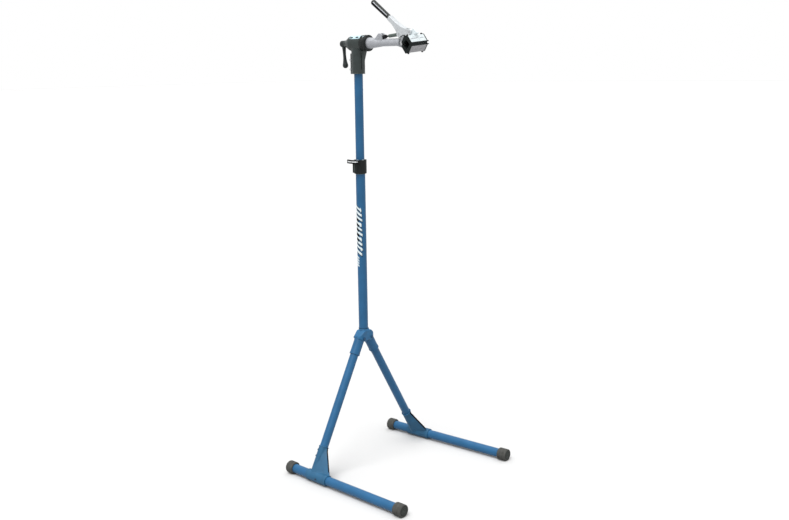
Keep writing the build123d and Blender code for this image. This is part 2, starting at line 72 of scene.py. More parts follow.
def in_clamp(x, y, z):
    """A point given in millimetres from the mast, about the clamp arm's axis."""
    return CLAMP @ Vector((x * MM, y * MM, z * MM))


def about_clamp(point):
    """The other way round: a point in metres as millimetres about the clamp arm's axis."""
    return CLAMP.inverted() @ point / MM


# ---- finishes ----
def node_of(tree, kind, **inputs):
    made = tree.nodes.new(kind)
    for key, value in inputs.items():
        made.inputs[key.replace("_", " ")].default_value = value
    return made


def noise(tree, coords, scale, detail=3.0, stretch=(1, 1, 1)):
    mapping = node_of(tree, "ShaderNodeMapping", Scale=stretch)
    tree.links.new(coords, mapping.inputs["Vector"])
    texture = node_of(tree, "ShaderNodeTexNoise", Scale=scale, Detail=detail)
    tree.links.new(mapping.outputs["Vector"], texture.inputs["Vector"])
    return texture.outputs["Fac"]


def ramp(tree, factor, stops):
    made = tree.nodes.new("ShaderNodeValToRGB")
    elements = made.color_ramp.elements
    while len(elements) < len(stops):
        elements.new(0.5)
    for element, (place, color) in zip(elements, stops):
        element.position = place
        element.color = (*color, 1)
    tree.links.new(factor, made.inputs["Fac"])
    return made.outputs["Color"]


def spread(tree, factor, low, high):
    made = node_of(tree, "ShaderNodeMapRange", From_Min=0.3, From_Max=0.7, To_Min=low, To_Max=high)
    tree.links.new(factor, made.inputs["Value"])
    return made.outputs["Result"]


def finish(name, color, metal=0.0, rough=0.5, shine=0.5, coat=0.0, tint=0.12, cloud=35, grain=900,
           depth=0.05, rough_spread=0.08, edge_highlight_and_wear=None, stretch=(1, 1, 1)):
    """A finish with cloudy colour, uneven gloss, surface grain and, on dense meshes, lighter edges: a painted edge
    highlight, and wear.
    """
    made = bpy.data.materials.new(name)
    made.use_nodes = True
    tree = made.node_tree
    shader = tree.nodes["Principled BSDF"]
    shader.inputs["Metallic"].default_value = metal
    shader.inputs["Specular IOR Level"].default_value = shine
    shader.inputs["Coat Weight"].default_value = coat
    shader.inputs["Coat Roughness"].default_value = 0.15
    coords = tree.nodes.new("ShaderNodeTexCoord").outputs["Object"]
    clouds = noise(tree, coords, cloud, 4.0, stretch)
    darker = [c * (1 - tint) for c in color]
    lighter = [min(1.0, c * (1 + tint)) for c in color]
    tone = ramp(tree, clouds, [(0.3, darker), (0.5, color), (0.7, lighter)])
    # painted highlight and wear: where Pointiness finds a sharp edge, the colour turns lighter
    if edge_highlight_and_wear:
        edges = tree.nodes.new("ShaderNodeNewGeometry").outputs["Pointiness"]
        edge_highlight_mask = ramp(tree, edges, [(0.53, (0, 0, 0)), (0.62, (1, 1, 1))])
        mix = tree.nodes.new("ShaderNodeMix")
        mix.data_type = "RGBA"
        tree.links.new(edge_highlight_mask, mix.inputs["Factor"])
        tree.links.new(tone, mix.inputs["A"])
        mix.inputs["B"].default_value = (*edge_highlight_and_wear, 1)
        tone = mix.outputs["Result"]
    tree.links.new(tone, shader.inputs["Base Color"])
    fine = noise(tree, coords, grain, 2.0, stretch)
    gloss = spread(tree, clouds, rough - rough_spread, rough + rough_spread)
    tree.links.new(gloss, shader.inputs["Roughness"])
    bump = node_of(tree, "ShaderNodeBump", Strength=1.0, Distance=depth * MM)
    tree.links.new(fine, bump.inputs["Height"])
    tree.links.new(bump.outputs["Normal"], shader.inputs["Normal"])
    return made


PAINT = finish("blue_paint", (0.010, 0.076, 0.172), rough=0.44, shine=0.28, tint=0.10, cloud=22, grain=700,
               depth=0.04)
PAINT_CAST = finish("blue_paint_cast", (0.014, 0.092, 0.200), rough=0.46, shine=0.28, tint=0.14, cloud=60,
                    grain=420, depth=0.14, edge_highlight_and_wear=(0.045, 0.15, 0.28))
PAINT_BOOT = finish("blue_paint_boot", (0.014, 0.073, 0.144), rough=0.5, shine=0.24, tint=0.14, cloud=45,
                    grain=420, depth=0.1, edge_highlight_and_wear=(0.04, 0.12, 0.22))
FASTENER = finish("dark_fasteners", (0.008, 0.022, 0.050), metal=0.3, rough=0.42, grain=1500, depth=0.03)
STEEL = finish("zinc_steel", (0.42, 0.43, 0.44), metal=0.9, rough=0.36, tint=0.16, cloud=120, grain=1600,
               depth=0.03, stretch=(1, 5, 1))
BLACK = finish("black_plastic", (0.006, 0.008, 0.008), rough=0.5, shine=0.2, tint=0.3, grain=1100, depth=0.08,
               edge_highlight_and_wear=(0.03, 0.035, 0.035))
LEVER = finish("black_lever", (0.003, 0.003, 0.003), rough=0.5, shine=0.12, tint=0.3, grain=900, depth=0.04)
# near black: for real dark parts and print, and as painted shade in creases, gaps and joints
NEAR_BLACK_AND_SHADE = finish("sealing_rubber", (0.002, 0.002, 0.003), rough=0.6, shine=0.08, tint=0.3, cloud=120, grain=900,
              depth=0.05)
CAP_FACE = finish("cap_end_face", (0.030, 0.034, 0.031), rough=0.7, shine=0.2, tint=0.4, cloud=240, grain=900,
                  depth=0.2)
RUBBER_CAP = finish("cap_rubber", (0.044, 0.045, 0.041), rough=0.75, shine=0.22, tint=0.3, cloud=90,
                    grain=1300, depth=0.14, edge_highlight_and_wear=(0.055, 0.055, 0.055))
NYLON = finish("nylon", (0.52, 0.52, 0.47), rough=0.5, tint=0.06, grain=1200, depth=0.05)
HEAD = finish("dark_casting", (0.013, 0.020, 0.019), rough=0.38, shine=0.42, tint=0.2, cloud=70, grain=520,
              depth=0.2, edge_highlight_and_wear=(0.05, 0.07, 0.07))
HANDLE = finish("handle_plastic", (0.009, 0.013, 0.013), rough=0.42, shine=0.3, tint=0.2, cloud=90, grain=900,
                depth=0.08, edge_highlight_and_wear=(0.05, 0.065, 0.065))
SILVER = finish("silver_casting", (0.30, 0.31, 0.33), metal=0.3, rough=0.44, shine=0.35, tint=0.08, cloud=90,
                grain=420, depth=0.16, rough_spread=0.1, edge_highlight_and_wear=(0.52, 0.53, 0.55))
# painted light: a lighter copy of the silver casting finish, for the top-lit upper jaw
SILVER_PAINTED_LIGHT = finish("silver_casting_bright", (0.58, 0.635, 0.65), metal=0.3, rough=0.34, shine=0.4,
                       tint=0.07, cloud=110, grain=420, depth=0.12, rough_spread=0.1, edge_highlight_and_wear=(0.72, 0.76, 0.78))
# painted shade: a darker copy of the silver casting finish, for the ears and the arm's end where the key light
# falls brightest
SILVER_PAINTED_SHADE = finish("silver_casting_dull", (0.23, 0.24, 0.255), metal=0.3, rough=0.5, shine=0.3, tint=0.1,
                      cloud=90, grain=420, depth=0.16)
# painted light: a lighter copy of the silver casting finish, for the brightly lit clamp handle
SILVER_HANDLE_PAINTED_LIGHT = finish("silver_casting_handle", (0.43, 0.45, 0.465), metal=0.3, rough=0.42, shine=0.35,
                       tint=0.07, cloud=90, grain=420, depth=0.14, rough_spread=0.1, edge_highlight_and_wear=(0.6, 0.62, 0.64))
SILVER_ROUGH = finish("silver_casting_rough", (0.27, 0.27, 0.28), metal=0.3, rough=0.55, shine=0.3, tint=0.16,
                      cloud=160, grain=380, depth=0.35, edge_highlight_and_wear=(0.42, 0.42, 0.43))
RUBBER = finish("black_rubber", (0.005, 0.008, 0.008), rough=0.6, shine=0.15, tint=0.3, cloud=120, grain=1200,
                depth=0.1, edge_highlight_and_wear=(0.02, 0.025, 0.025))
GRIP_TOP = finish("grip_rubber", (0.026, 0.029, 0.028), rough=0.66, shine=0.2, tint=0.35, cloud=300,
                  grain=900, depth=0.2, edge_highlight_and_wear=(0.06, 0.065, 0.06))
BARREL = finish("grey_barrel", (0.085, 0.105, 0.095), metal=0.3, rough=0.42, shine=0.3, tint=0.18, cloud=200,
                grain=1200, depth=0.06)
KNOB = finish("knob_steel", (0.008, 0.008, 0.010), metal=0.4, rough=0.4, shine=0.3, tint=0.2, grain=1500,
              depth=0.05)
# white print on the mast, also used as painted highlight for the collar's glints
WHITE_INK_AND_GLINT = finish("white_graphic", (0.54, 0.62, 0.64), rough=0.45, shine=0.3, tint=0.04, cloud=160,
                   grain=900, depth=0.02)
NAVY_INK = finish("navy_graphic", (0.002, 0.006, 0.012), rough=0.5, shine=0.2, tint=0.25, cloud=160,
                  grain=900, depth=0.02)
INLAY = finish("lever_inlay", (0.62, 0.64, 0.65), metal=0.3, rough=0.3, shine=0.5, tint=0.08, cloud=160,
               grain=900, depth=0.02)
PALE_LABEL = finish("pale_label", (0.38, 0.52, 0.56), rough=0.3, shine=0.4, coat=0.3, tint=0.12, cloud=60,
                    grain=800, depth=0.02)

PAINT_BOLT = finish("blue_bolts", (0.007, 0.045, 0.105), rough=0.4, shine=0.3, tint=0.2, cloud=300,
                    grain=1500, depth=0.03)

FINISH_OF_SLOT = {
    "blue_paint": PAINT, "dark_fasteners": FASTENER, "zinc_steel": STEEL, "black_plastic": BLACK,
    "black_lever": LEVER, "cap_rubber": RUBBER_CAP, "nylon": NYLON, "dark_casting": HEAD,
    "handle_plastic": HANDLE, "silver_casting": SILVER, "black_rubber": RUBBER, "grey_barrel": BARREL,
    "knob_steel": KNOB,
}
SLOT_OF = {part["node"]: part["material_slot"] for part in frame["record"]["subparts"]}
BODY_OF = {node: body for body, nodes in frame["record"]["behaviour"]["bodies"].items() for node in nodes}
FINISH_OF_NODE = {"leg_pivot_bolts": PAINT_BOLT, "leg_pivot_nuts": PAINT_BOLT, "head_flange_ring": BLACK,
                  "link_rod": KNOB}
for name, thing in frame["nodes"].items():
    thing.data.materials.clear()
    thing.data.materials.append(FINISH_OF_NODE.get(name, FINISH_OF_SLOT[SLOT_OF[name]]))


# ---- making pieces ----
def piece(name, mesh, material, body, stands_for=()):
    made = bpy.data.objects.new(name, mesh)
    bpy.context.scene.collection.objects.link(made)
    mesh.materials.clear()
    mesh.materials.append(material)
    mesh.polygons.foreach_set("use_smooth", [True] * len(mesh.polygons))
    mesh.update()
    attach(made, body)
    if stands_for:
        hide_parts(*stands_for)
    return made


def with_modifiers(mesh, *steps):
    """The mesh after a list of modifiers, each (kind, {setting: value})."""
    holder = bpy.data.objects.new("holder", mesh)
    bpy.context.scene.collection.objects.link(holder)
    for kind, settings in steps:
        modifier = holder.modifiers.new(kind, kind)
        for key, value in settings.items():
            setattr(modifier, key, value)
    graph = bpy.context.evaluated_depsgraph_get()
    done = bpy.data.meshes.new_from_object(holder.evaluated_get(graph))
    bpy.data.objects.remove(holder)
    return done


def clamp_plate(mesh, outline, y0, y1):
    """Adds a flat plate to a mesh, with its outline in X and Z about the clamp arm, from y0 to y1."""
    bm = bmesh.new()
    bm.from_mesh(mesh)
    near = [bm.verts.new(in_clamp(x, y0, z)) for x, z in outline]
    far = [bm.verts.new(in_clamp(x, y1, z)) for x, z in outline]
    faces = [bm.faces.new(near), bm.faces.new(list(reversed(far)))]
    for k in range(len(outline)):
        after = (k + 1) % len(outline)
        faces.append(bm.faces.new((near[k], far[k], far[after], near[after])))
    bmesh.ops.recalc_face_normals(bm, faces=faces)
    bm.to_mesh(mesh)
    bm.free()


def cast_from(node, material, voxel=0.9, rounds=5, keep=0.3, plates=()):
    """A node's shape as it comes out of a mould: edges rounded, corners blended, one dense skin."""
    mesh = frame["nodes"][node].data.copy()
    for plate in plates:
        clamp_plate(mesh, *plate)
    shaped = with_modifiers(
        mesh,
        ("REMESH", {"mode": "VOXEL", "voxel_size": voxel * MM}),
        ("SMOOTH", {"factor": 0.5, "iterations": rounds}),
        ("DECIMATE", {"ratio": keep}),
    )
    return piece(node + "_cast", shaped, material, BODY_OF[node], (node,))


def lathe(name, profile, place, material, body, steps=64, stands_for=(), bend=None, on_floor=False):
    """A closed turned solid about the local X axis, from (x, radius) points in millimetres."""
    bm = bmesh.new()
    rings = []
    for x, radius in profile:
        ring = []
        for step in range(steps):
            angle = 2 * math.pi * step / steps
            grown = radius + (bend(x, angle) if bend else 0)
            ring.append(bm.verts.new((x * MM, grown * math.cos(angle) * MM, grown * math.sin(angle) * MM)))
        rings.append(ring)
    for low, high in zip(rings, rings[1:]):
        for step in range(steps):
            after = (step + 1) % steps
            bm.faces.new((low[step], low[after], high[after], high[step]))
    bm.faces.new(list(reversed(rings[0])))
    bm.faces.new(rings[-1])
    bm.transform(place)
    if on_floor:
        for vert in bm.verts:
            vert.co.z = max(vert.co.z, 0.0)
    bmesh.ops.recalc_face_normals(bm, faces=bm.faces)
    mesh = bpy.data.meshes.new(name)
    bm.to_mesh(mesh)
    bm.free()
    return piece(name, mesh, material, body, stands_for)


def along(start, end):
    """The frame whose X axis runs from start towards end."""
    way = (end - start).normalized()
    side = Vector((0, 0, 1)).cross(way).normalized() if abs(way.z) < 0.999 else Vector((0, 1, 0))
    frame_of = Matrix((way, side, way.cross(side))).transposed().to_4x4()
    return Matrix.Translation(start) @ frame_of


def bead(name, points, radius, material, body, normal, closed=False, sides=12):
    """A round strip along a line of points; normal is roughly square to the line all the way."""
    bm = bmesh.new()
    rings = []
    last = len(points) - 1
    for k, spot in enumerate(points):
        before = points[k - 1] if closed or k else spot
        after = points[(k + 1) % (last + 1)] if closed or k < last else spot
        way = (after - before).normalized()
        across = way.cross(normal).normalized()
        lift = across.cross(way)
        size = radius * MM * (1 if closed or 0 < k < last else 0.5)
        turns = [2 * math.pi * n / sides for n in range(sides)]
        rings.append([bm.verts.new(spot + (across * math.cos(a) + lift * math.sin(a)) * size) for a in turns])
    for low, high in zip(rings, rings[1:] + (rings[:1] if closed else [])):
        for n in range(sides):
            after = (n + 1) % sides
            bm.faces.new((low[n], low[after], high[after], high[n]))
    if not closed:
        bm.faces.new(list(reversed(rings[0])))
        bm.faces.new(rings[-1])
    bmesh.ops.recalc_face_normals(bm, faces=bm.faces)
    mesh = bpy.data.meshes.new(name)
    bm.to_mesh(mesh)
    bm.free()
    return piece(name, mesh, material, body)


def surface_of(*things):
    bm = bmesh.new()
    for thing in things:
        bm.from_mesh(thing.data)
    tree = BVHTree.FromBMesh(bm)
    bm.free()
    return tree


def draped(name, tree, patches, ray, thickness, material, body, rings=4):
    """Thin plates laid on a surface. Each patch is a star-shaped outline of (u, v) points, and ray(u, v)
    gives the start and direction of the line that finds the surface."""
    bm = bmesh.new()
    for outline in patches:
        centre_u = sum(u for u, v in outline) / len(outline)
        centre_v = sum(v for u, v in outline) / len(outline)
        loops = []
        for ring in range(1, rings + 1):
            share = ring / rings
            points = []
            for u, v in outline:
                start, way = ray(centre_u + (u - centre_u) * share, centre_v + (v - centre_v) * share)
                spot, normal, _, _ = tree.ray_cast(start, way)
                if spot is None:
                    break
                normal = normal if normal.dot(way) < 0 else -normal
                points.append((spot, normal))
            loops.append(points)
        if any(len(points) < len(outline) for points in loops):
            continue
        rows = [[bm.verts.new(s + n * thickness * MM) for s, n in points] for points in loops]
        rows += [[bm.verts.new(s - n * 0.2 * MM) for s, n in points] for points in reversed(loops)]
        bm.faces.new(rows[0])
        for inner, outer in zip(rows, rows[1:]):
            for k in range(len(outline)):
                after = (k + 1) % len(outline)
                bm.faces.new((inner[k], inner[after], outer[after], outer[k]))
        bm.faces.new(list(reversed(rows[-1])))
    bmesh.ops.recalc_face_normals(bm, faces=bm.faces)
    mesh = bpy.data.meshes.new(name)
    bm.to_mesh(mesh)
    bm.free()
    return piece(name, mesh, material, body)


def oval(u, v, half_u, half_v, power=2.0, count=28):
    """An ellipse, or with a higher power a rounded rectangle."""
    points = []
    for k in range(count):
        a = 2 * math.pi * k / count
        c, s = math.cos(a), math.sin(a)
        points.append((u + half_u * math.copysign(abs(c) ** (2 / power), c),
                       v + half_v * math.copysign(abs(s) ** (2 / power), s)))
    return points


# ---- finer shapes for some castings ----
HUB_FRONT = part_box("lock_handle")[1].x / MM
PIVOT_LEVEL = middle("leg_pivot_bolts").z / MM
PLATE_TOP_X, PLATE_TOP_Z = 244.5, 20.3         # upper front edge of the upper jaw's plate
PLATE_SLOPE = 0.657                            # how far the plate runs forward for each mm down
HINGE_HALF_WIDTH, HINGE_TOP = 12.5, 21         # what the ears and the arm's end lie within
FLANGE_FROM, FLANGE_SCALE = 38.6, 0.93         # the covers' far flanges
JAW_WEB = [(191, 2), (193, 12), (199, 19.5), (222, 20), (226, 10), (221, 2)]


def share_of(value):
    """A value kept between 0 and 1."""
    return min(1, max(0, value))


def reshape(thing, move):
    """Moves a piece's points. move gets and gives x, y and z in millimetres."""
    for vert in thing.data.vertices:
        vert.co = Vector(move(*(vert.co / MM))) * MM
    thing.data.update()


def shrink_far_flange(x, y, z):
    """The far end of a jaw cover is a little smaller than the near one."""
    spot = about_clamp(Vector((x, y, z)) * MM)
    if spot.y <= FLANGE_FROM:
        return x, y, z
    spot.x = JAW_X + (spot.x - JAW_X) * FLANGE_SCALE
    spot.z = JAW_Z + (spot.z - JAW_Z) * FLANGE_SCALE
    return in_clamp(*spot) / MM


def trim_hump(x, y, z):
    """Keeps the upper jaw's rib off the front of its plate."""
    spot = about_clamp(Vector((x, y, z)) * MM)
    if abs(spot.y) < 7.5 and spot.z > 11:
        slope = PLATE_TOP_X + (PLATE_TOP_Z - min(spot.z, PLATE_TOP_Z)) * PLATE_SLOPE + 0.4
        limit = slope + max(0, spot.z - PLATE_TOP_Z) * 1.8
        spot.x = min(spot.x, limit)
    return in_clamp(*spot) / MM


def short_hub(x, y, z):
    """The lock handle's hub drawn in a little at its rear, and less towards the ball end."""
    return x + share_of((z - RING.z / MM + 70) / 60) * 0.17 * (HUB_FRONT - x), y, z


def slim_rear(x, y, z):
    """The yoke's rear drawn in above the hinges."""
    mast_x = MAST.x / MM
    if x > mast_x:
        return x, y, z
    return mast_x + (x - mast_x) * (1 - 0.28 * share_of((z - PIVOT_LEVEL) / 16)), y, z


def lift_lever(x, y, z):
    """The quick-release lever's arm raised towards its tip."""
    return x, y, z + 1.2 * share_of((12 - x + MAST.x / MM) / 12)


# ---- castings, mouldings and boots ----
YOKE = cast_from("yoke_casting", PAINT_CAST, voxel=0.9, rounds=16, keep=0.35)
HEAD_CAST = cast_from("head_casting", HEAD, voxel=0.9, rounds=6, keep=0.35)
LOCK = cast_from("lock_handle", HANDLE, voxel=0.7, rounds=6, keep=0.35)
cast_from("quick_release_collar", BLACK, voxel=0.6, rounds=4, keep=0.3)
QR_LEVER = cast_from("collar_lever", LEVER, voxel=0.5, rounds=4, keep=0.4)
ARM = cast_from("clamp_arm", SILVER, voxel=0.6, rounds=3, keep=0.35)
UPPER_JAW = cast_from("upper_jaw", SILVER_PAINTED_LIGHT, voxel=0.6, rounds=3, keep=0.3,
                      plates=[(JAW_WEB, -10.4, -6.6), (JAW_WEB, 6.6, 10.4)])
LOWER_JAW = cast_from("lower_jaw", SILVER_ROUGH, voxel=0.6, rounds=3, keep=0.3)
UPPER_COVER = cast_from("upper_jaw_cover", RUBBER, voxel=0.5, rounds=1, keep=0.3)
LOWER_COVER = cast_from("lower_jaw_cover", RUBBER, voxel=0.5, rounds=1, keep=0.3)
reshape(UPPER_COVER, shrink_far_flange)
reshape(LOWER_COVER, shrink_far_flange)
# painted shade: faces on the hinge ears and the arm's end get the darker silver copy
for casting, start, end in ((UPPER_JAW, 180, 226), (ARM, 181, 235)):
    casting.data.materials.append(SILVER_PAINTED_SHADE)
    for face in casting.data.polygons:
        spot = about_clamp(face.center)
        if start < spot.x < end and abs(spot.y) < HINGE_HALF_WIDTH and spot.z < HINGE_TOP:
            face.material_index = 1

reshape(UPPER_JAW, trim_hump)
reshape(LOCK, short_hub)
reshape(YOKE, slim_rear)
reshape(QR_LEVER, lift_lever)
cast_from("clamp_handle", SILVER_HANDLE_PAINTED_LIGHT, voxel=0.6, rounds=5, keep=0.35)
BOOTS = {side: cast_from(side + "_boot", PAINT_BOOT, voxel=0.8, rounds=25, keep=0.3) for side in SIDES}


# ---- mast graphic: slanted strokes wrapped round the lower tube ----
def round_mast(u, v):
    """The line in from outside the mast at u degrees round from +X and v millimetres up."""
    out = Vector((math.cos(math.radians(u)), math.sin(math.radians(u)), 0))
    return Vector((MAST.x, MAST.y, v * MM)) + out * 60 * MM, -out


def stroke(u0, u1, v, slant, half, count=9):
    """A slanted bar from u0 to u1 degrees, v high in its middle and slant lower at the u1 end."""
    steps = [k / (count - 1) for k in range(count)]
    upper = [(u0 + (u1 - u0) * t, v + slant * (0.5 - t) + half) for t in steps]
    lower = [(u0 + (u1 - u0) * t, v + slant * (0.5 - t) - half) for t in reversed(steps)]
    return upper + lower


TUBE_SKIN = surface_of(frame["nodes"]["lower_tube"])
STROKES = [(-152, -46 + 5 * (k % 3), 890 - 16.6 * k, 21, 3.6 + 0.8 * (k % 2)) for k in range(10)]
SMALL_STROKES = [(-152, -84, 722 - 9 * k, 10, 2.6) for k in range(4)]
LINKS = [(-62 - 9 * (k % 2), -50, 882 - 16.6 * k, 4, 6.2) for k in (0, 3, 6, 8)]
BLOTS = [(-126 - 6 * (k % 2), -84, 882 - 16.6 * k, 8, 4.6) for k in (2, 3, 4, 5, 6)]
OUTLINES = [stroke(a - 3, b + 4, v, slant + 2, half + 3.1) for a, b, v, slant, half in STROKES]
draped("mast_graphic_outline", TUBE_SKIN, OUTLINES, round_mast, 0.12, NAVY_INK, "base")
draped("mast_graphic_shadows", TUBE_SKIN, [stroke(*bar) for bar in BLOTS], round_mast, 0.35, NEAR_BLACK_AND_SHADE, "base")
draped("mast_graphic", TUBE_SKIN, [stroke(*bar) for bar in STROKES + SMALL_STROKES + LINKS], round_mast, 0.25,
       WHITE_INK_AND_GLINT, "base")


# ---- head label, on the barrel's left upper side ----
def round_barrel(u, v):
    """The line in towards the barrel's axis, u millimetres forward of the mast and v degrees up."""
    out = Vector((0, -math.cos(math.radians(v)), math.sin(math.radians(v))))
    return Vector((MAST.x + u * MM, 0, RING.z)) + out * 60 * MM, -out


HEAD_SKIN = surface_of(HEAD_CAST)
draped("head_label", HEAD_SKIN, [oval(5, 61, 25, 28, 5, 40)], round_barrel, 0.25, PALE_LABEL, "mast",
       rings=6)
draped("head_label_marks", HEAD_SKIN,
       [oval(-11.5, 46, 6.8, 8), oval(13, 48, 6.8, 8), oval(26, 60, 1.6, 16, 4)], round_barrel, 0.45,
       NAVY_INK, "mast")
draped("head_label_edge", HEAD_SKIN, [oval(35, 60, 4.6, 26, 4)], round_barrel, 0.3, NAVY_INK, "mast")
draped("head_label_bars", HEAD_SKIN, [oval(33.5, 66, 1.2, 13, 4), oval(37.5, 58, 1.0, 12, 4)],
       round_barrel, 0.5, PALE_LABEL, "mast")
RING_BACK = (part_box("head_flange_ring")[0].x - MAST.x) / MM
lathe("head_rear_band", [(RING_BACK - 17, 24.0), (RING_BACK - 16.5, 25.7), (RING_BACK - 8, 25.75),
                         (RING_BACK - 7.4, 26.3), (RING_BACK - 5.6, 26.3), (RING_BACK - 5, 25.75),
                         (RING_BACK - 0.6, 25.75), (RING_BACK - 0.2, 24.0)],
      Matrix.Translation((MAST.x, 0, RING.z)), BLACK, "mast", steps=96)


# ---- painted shade: near-black lines in the creases beside the socket's rib, and a lip round the socket's foot ----
SOCKET_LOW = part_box("head_casting")[0].z
for sign, side in ((-1, "left"), (1, "right")):
    crease = [Vector((MAST.x + 20.9 * MM, sign * 7.4 * MM, SOCKET_LOW + z * MM)) for z in range(14, 74, 6)]
    bead("socket_crease_" + side, crease, 0.9, NEAR_BLACK_AND_SHADE, "mast", Vector((0, 1, 0)))
FOOT_TURNS = [2 * math.pi * (k + 0.5) / 72 - math.pi for k in range(4, 68)]
FOOT_LIP = [Vector((MAST.x + 21.6 * MM * math.cos(a), 21.6 * MM * math.sin(a), SOCKET_LOW + 1.4 * MM))
            for a in FOOT_TURNS]
bead("socket_foot_lip", FOOT_LIP, 1.1, HEAD, "mast", UP)


# ---- quick-release collar and lever ----
COLLAR_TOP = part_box("quick_release_collar")[1].z
LEVER_MID = middle("collar_lever")


def from_left(u, v):
    """The line in from the left at u millimetres forward of the mast and v millimetres up."""
    return Vector((MAST.x + u * MM, -0.3, v * MM)), Vector((0, 1, 0))


LEVER_SKIN = surface_of(QR_LEVER)
draped("lever_inlay", LEVER_SKIN, [oval(u, LEVER_MID.z / MM + 1.3, 10.5, 1.7, 4, 36) for u in (-15, 7)],
       from_left, 0.3, INLAY, "collar_lever")


def level_arc(radius, height, start, end, count=48):
    """Points round the mast at one height, from one angle in degrees to another."""
    spots = []
    for k in range(count):
        a = math.radians(start + (end - start) * k / (count - 1))
        spots.append(Vector((MAST.x + radius * MM * math.cos(a), MAST.y + radius * MM * math.sin(a), height)))
    return spots


# painted highlight: two short white arcs on the collar's top, glints where the upper tube enters
bead("collar_glint_left", level_arc(17.4, COLLAR_TOP - 0.9 * MM, -90, -66), 1.4, WHITE_INK_AND_GLINT, "base",
     UP)
bead("collar_glint_right", level_arc(17.4, COLLAR_TOP - 0.9 * MM, -27, -4), 1.4, WHITE_INK_AND_GLINT, "base",
     UP)
COLLAR_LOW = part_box("quick_release_collar")[0]
bead("collar_foot_ring", level_arc(16.4, COLLAR_LOW.z - 0.6 * MM, 0, 355), 1.1, BARREL, "base",
     UP, closed=True)
# painted highlight: a grey line up the collar's left face stands in for the highlight there
HIGHLIGHT_LINE_START = Vector((MAST.x, COLLAR_LOW.y + 1.0 * MM, COLLAR_LOW.z))
HIGHLIGHT_LINE_POINTS = [HIGHLIGHT_LINE_START + UP * z * MM for z in (6, 12, 18, 24, 30, 34)]
bead("collar_slot_liner", HIGHLIGHT_LINE_POINTS, 1.15, BARREL, "base", Vector((0, 1, 0)))
# painted shade: a near-black ring where the mast enters the yoke
bead("yoke_joint_line", level_arc(16.2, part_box("lower_tube")[0].z + 0.6 * MM, 0, 355, 72), 0.9, NEAR_BLACK_AND_SHADE, "base",
     UP, closed=True)


# ---- boots: a near-black strip down the front edge, painted shade for the shadowed open front, and a rolled lip round the leg ----
def front_edge(skin, side, height):
    """The foremost point of a boot at a height."""
    near, far = (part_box(side + "_boot")[n].y for n in (0, 1))
    hits = []
    for k in range(161):
        start = Vector((1, near + (far - near) * k / 160, height))
        spot = skin.ray_cast(start, Vector((-1, 0, 0)))[0]
        if spot is not None:
            hits.append(spot)
    return max(hits, key=lambda spot: spot.x)


LEAN = math.tan(math.radians(1.0)) * 1.16      # forward reach of a leg for each metre of height
LIP_BELOW_TOP, LIP_R = 8.4, 16.5
HINGE = {joint["child"]: Vector(joint["pos_m"]) for joint in frame["joints"] if "leg_fold" in joint["name"]}
FEET = {m["name"]: Vector(m["pos_m"]) for m in frame["record"]["mounts"] if m["name"].startswith("foot_")}
for side in SIDES:
    skin = surface_of(BOOTS[side])
    low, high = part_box(side + "_boot")
    heights = [low.z + (high.z - low.z) * (0.36 + 0.04 * k) for k in range(16)]
    edge = [front_edge(skin, side, height) for height in heights]
    # painted shade: the dark strip stands in for the shadow in the boot's open front
    bead(side + "_boot_seam", edge, 3.0 if side == "right" else 2.0, NEAR_BLACK_AND_SHADE, side + "_leg",
         Vector((0, 1, 0)))
    rear, front = FEET["foot_" + side + "_rear"], FEET["foot_" + side + "_front"]
    hinge = HINGE[side + "_leg"]
    foot = rear.lerp(front, (hinge.x - rear.x) / (front.x - rear.x))
    foot.z = middle(side + "_base_bar").z
    foot.x += (hinge.z - foot.z) * LEAN
    way = (foot - hinge).normalized()
    top_height = high.z - LIP_BELOW_TOP * MM
    centre = hinge.lerp(foot, (hinge.z - top_height) / (hinge.z - foot.z))
    across = way.cross(Vector((1, 0, 0))).normalized()
    ahead = across.cross(way)
    lip = [centre + (ahead * math.cos(a) + across * math.sin(a)) * LIP_R * MM
           for a in (2 * math.pi * k / 60 for k in range(60))]
    bead(side + "_boot_lip", lip, 1.2, PAINT_CAST, side + "_leg", way, closed=True)


# ---- end caps with a rolled rim, grooves and a sunk end face ----
CAP_SHAPE = [(1.5, 0), (1.5, 15.6), (0.3, 16.4), (0, 17.4), (0.6, 19.3), (2.2, 20.4), (5, 20.6), (0.32, 20.6),
             (0.34, 19.8), (0.38, 19.8), (0.4, 20.6), (0.62, 20.6), (0.64, 19.8), (0.68, 19.8), (0.7, 20.6),
             (0.9, 20.6), (0.96, 20.1), (1, 18.8), (1, 15)]
CAP_DISC = [(0.9, 0), (0.9, 4), (0.4, 4.6), (0.4, 6.4), (0.9, 7), (0.9, 9.8), (0.4, 10.4), (0.4, 12.2),
            (0.9, 12.8), (0.9, 15.2), (2.0, 15.3)]
for side in SIDES:
    bar_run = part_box(side + "_front_cap")[0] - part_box(side + "_rear_cap")[0]
    toe = bar_run.y / bar_run.x
    for end in ("front", "rear"):
        node = side + "_" + end + "_cap"
        low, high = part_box(node)
        mid = (low + high) / 2
        outward = 1 if end == "front" else -1
        tip = high.x if end == "front" else low.x
        length = (high.x - low.x) / MM
        way = Vector((-outward, -outward * toe, 0)).normalized()
        start = Vector((tip, mid.y + toe * (tip - mid.x), middle(side + "_base_bar").z)) + way * 0.9 * MM
        profile = CAP_SHAPE[:7] + [(x * (length - 2.0), r) for x, r in CAP_SHAPE[7:]]
        place = along(start, start + way)
        lathe(node + "_moulded", profile, place, RUBBER_CAP, BODY_OF[node], stands_for=(node,),
              on_floor=True)
        lathe(node + "_end_disc", CAP_DISC, place, CAP_FACE, BODY_OF[node])


